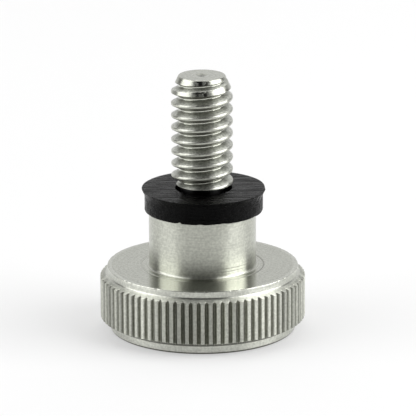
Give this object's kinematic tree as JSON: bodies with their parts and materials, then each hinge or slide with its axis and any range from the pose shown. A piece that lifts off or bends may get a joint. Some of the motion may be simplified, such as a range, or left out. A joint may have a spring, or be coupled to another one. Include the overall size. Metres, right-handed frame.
{
  "type": "knurled thumb screw with rubber washer",
  "caption": "Turned thumb screw with a straight-knurled head, a plain boss, a necked coarse right-hand thread and a loose black rubber washer on the boss.",
  "frame": {"origin": "centre of the head's underside, which the screw stands on", "axes": "+Z along the screw's axis, from the head to the thread's tip"},
  "size_m": [0.0212, 0.0212, 0.0269],
  "materials": {
    "turned_metal": "satin turned metal with fine lathe lines, brighter on the chamfers and thread crests",
    "black_rubber": "semi-gloss black rubber with faint rub marks"
  },
  "bodies": {
    "root": {"knurled_thumb_screw": "turned_metal", "rubber_washer": "black_rubber"}
  },
  "joints": []
}
